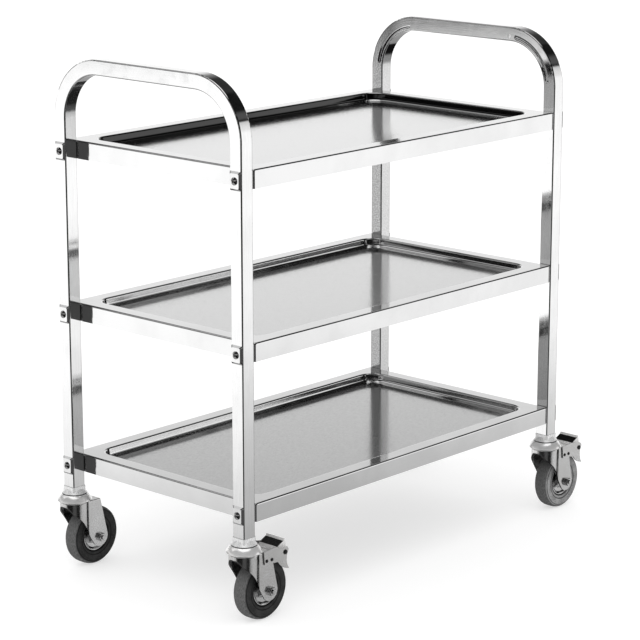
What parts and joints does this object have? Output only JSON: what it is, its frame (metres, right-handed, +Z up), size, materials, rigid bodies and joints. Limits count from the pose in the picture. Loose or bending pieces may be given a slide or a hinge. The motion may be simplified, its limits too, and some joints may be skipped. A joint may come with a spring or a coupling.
{
  "type": "food service trolley",
  "caption": "Polished steel trolley with tiered pressed trays between two bent square-tube end frames, on swivel casters, those along one long side braked.",
  "frame": {"origin": "on the floor, under the middle of the frame, halfway between the end frames and between the uprights", "axes": "+Z up; +X along the trolley from the left end frame to the right one, the longest horizontal side; +Y across it, away from the braked casters"},
  "size_m": [0.891, 0.4555, 0.867],
  "materials": {
    "frame_tube": "polished stainless steel tube",
    "tray_sheet": "polished stainless steel sheet, fine brushing on the floor",
    "saddle_steel": "polished pressed steel",
    "collar_steel": "polished pressed steel",
    "caster_plate": "bright zinc plated pressed steel",
    "bolt_steel": "zinc plated fasteners",
    "zinc_fittings": "zinc plated sheet and nuts",
    "ball_steel": "hardened bearing balls",
    "hub_metal": "satin metal hub",
    "tyre_rubber": "moulded grey rubber",
    "shoe_rubber": "black rubber",
    "vent_plastic": "white moulded plastic",
    "plug_plastic": "black moulded plastic"
  },
  "bodies": {
    "trolley": {"left_end_frame": "frame_tube", "right_end_frame": "frame_tube", "shelf_bottom": "tray_sheet", "shelf_middle": "tray_sheet", "shelf_top": "tray_sheet", "corner_angles": "zinc_fittings", "saddle_plates": "saddle_steel", "shelf_bolts": "bolt_steel", "shelf_nuts": "zinc_fittings", "leg_plugs": "plug_plastic", "leg_collars": "collar_steel", "swivel_balls": "ball_steel", "vent_plugs": "vent_plastic", "caster_left_front_stem": "caster_plate", "caster_left_front_head": "caster_plate", "caster_right_front_stem": "caster_plate", "caster_right_front_head": "caster_plate", "caster_left_back_stem": "caster_plate", "caster_left_back_head": "caster_plate", "caster_right_back_stem": "caster_plate", "caster_right_back_head": "caster_plate"},
    "swivel_left_front": {"caster_left_front_fork": "caster_plate", "caster_left_front_axle_bolt": "bolt_steel", "caster_left_front_axle_nut": "bolt_steel", "caster_left_front_axle_sleeve": "bolt_steel", "brake_left_front_bracket": "caster_plate", "brake_left_front_rivets": "caster_plate", "brake_left_front_pin": "bolt_steel"},
    "wheel_left_front": {"caster_left_front_wheel_hub": "hub_metal", "caster_left_front_tyre": "tyre_rubber"},
    "pedal_left_front": {"brake_left_front_pedal": "caster_plate", "brake_left_front_shoe": "shoe_rubber"},
    "swivel_right_front": {"caster_right_front_fork": "caster_plate", "caster_right_front_axle_bolt": "bolt_steel", "caster_right_front_axle_nut": "bolt_steel", "caster_right_front_axle_sleeve": "bolt_steel", "brake_right_front_bracket": "caster_plate", "brake_right_front_rivets": "caster_plate", "brake_right_front_pin": "bolt_steel"},
    "wheel_right_front": {"caster_right_front_wheel_hub": "hub_metal", "caster_right_front_tyre": "tyre_rubber"},
    "pedal_right_front": {"brake_right_front_pedal": "caster_plate", "brake_right_front_shoe": "shoe_rubber"},
    "swivel_left_back": {"caster_left_back_fork": "caster_plate", "caster_left_back_axle_bolt": "bolt_steel", "caster_left_back_axle_nut": "bolt_steel", "caster_left_back_axle_sleeve": "bolt_steel"},
    "wheel_left_back": {"caster_left_back_wheel_hub": "hub_metal", "caster_left_back_tyre": "tyre_rubber"},
    "swivel_right_back": {"caster_right_back_fork": "caster_plate", "caster_right_back_axle_bolt": "bolt_steel", "caster_right_back_axle_nut": "bolt_steel", "caster_right_back_axle_sleeve": "bolt_steel"},
    "wheel_right_back": {"caster_right_back_wheel_hub": "hub_metal", "caster_right_back_tyre": "tyre_rubber"}
  },
  "joints": [
    {"name": "swivel_left_front", "type": "hinge", "parent": "trolley", "child": "swivel_left_front", "pos_m": [-0.3885, -0.1975, 0.119], "axis": [0, 0, 1], "continuous": true},
    {"name": "wheel_left_front", "type": "hinge", "parent": "swivel_left_front", "child": "wheel_left_front", "pos_m": [-0.3535, -0.1975, 0.05], "axis": [0, 1, 0], "continuous": true},
    {"name": "brake_left_front", "type": "hinge", "parent": "swivel_left_front", "child": "pedal_left_front", "pos_m": [-0.3205, -0.1975, 0.107], "axis": [0, 1, 0], "range_deg": [0, 8]},
    {"name": "swivel_right_front", "type": "hinge", "parent": "trolley", "child": "swivel_right_front", "pos_m": [0.3885, -0.1975, 0.119], "axis": [0, 0, 1], "continuous": true},
    {"name": "wheel_right_front", "type": "hinge", "parent": "swivel_right_front", "child": "wheel_right_front", "pos_m": [0.4235, -0.1975, 0.05], "axis": [0, 1, 0], "continuous": true},
    {"name": "brake_right_front", "type": "hinge", "parent": "swivel_right_front", "child": "pedal_right_front", "pos_m": [0.4565, -0.1975, 0.107], "axis": [0, 1, 0], "range_deg": [0, 8]},
    {"name": "swivel_left_back", "type": "hinge", "parent": "trolley", "child": "swivel_left_back", "pos_m": [-0.3885, 0.1975, 0.119], "axis": [0, 0, 1], "continuous": true},
    {"name": "wheel_left_back", "type": "hinge", "parent": "swivel_left_back", "child": "wheel_left_back", "pos_m": [-0.3535, 0.1975, 0.05], "axis": [0, 1, 0], "continuous": true},
    {"name": "swivel_right_back", "type": "hinge", "parent": "trolley", "child": "swivel_right_back", "pos_m": [0.3885, 0.1975, 0.119], "axis": [0, 0, 1], "continuous": true},
    {"name": "wheel_right_back", "type": "hinge", "parent": "swivel_right_back", "child": "wheel_right_back", "pos_m": [0.4235, 0.1975, 0.05], "axis": [0, 1, 0], "continuous": true}
  ]
}
